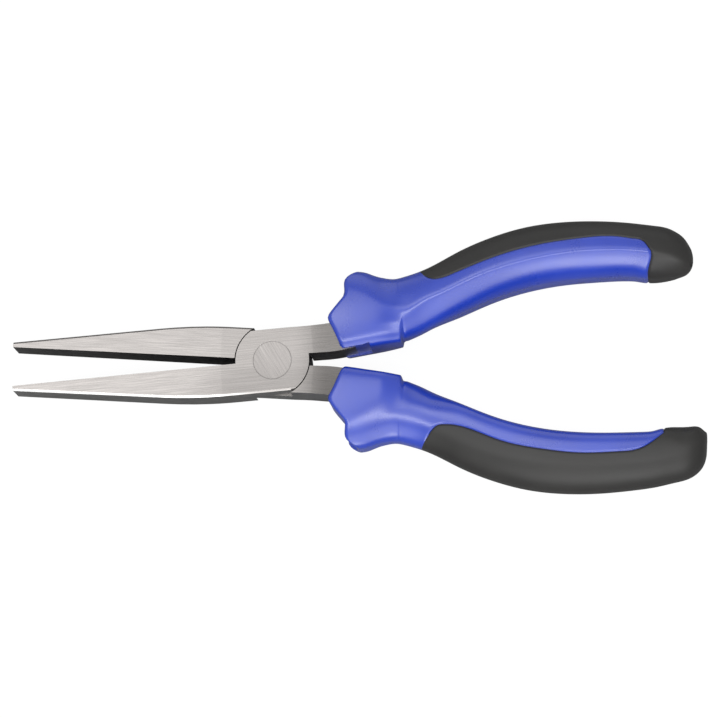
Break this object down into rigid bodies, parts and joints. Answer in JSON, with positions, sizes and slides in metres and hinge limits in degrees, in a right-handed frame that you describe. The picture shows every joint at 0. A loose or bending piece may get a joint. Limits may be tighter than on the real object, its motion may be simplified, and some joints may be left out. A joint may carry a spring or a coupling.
{
  "type": "flat nose pliers",
  "caption": "Flat nose pliers with long smooth tapering jaws, a flush riveted lap joint, and curved handle grips of hard shell and soft pad with thumb guards.",
  "frame": {"origin": "on the pivot axis, at the back cheek of the head", "axes": "+Z along the pivot axis out of the front cheek, -X towards the jaw tips, +X towards the handles, +Y towards the upper handle"},
  "size_m": [0.1589, 0.063, 0.0157],
  "materials": {
    "lever_steel": "fine lengthwise satin grind",
    "rivet_steel": "ground flush with the cheeks",
    "grip_blue": "satin moulded",
    "grip_black": "matt moulded"
  },
  "bodies": {
    "front_half": {"front_lever": "lever_steel", "pivot_rivet": "rivet_steel", "upper_grip_shell": "grip_blue", "upper_grip_pad": "grip_black"},
    "rear_half": {"rear_lever": "lever_steel", "lower_grip_shell": "grip_blue", "lower_grip_pad": "grip_black"}
  },
  "joints": [
    {"name": "pivot", "type": "hinge", "parent": "front_half", "child": "rear_half", "pos_m": [0, 0, 0.00475], "axis": [0, 0, -1], "range_deg": [-8.6, 51.4]}
  ]
}
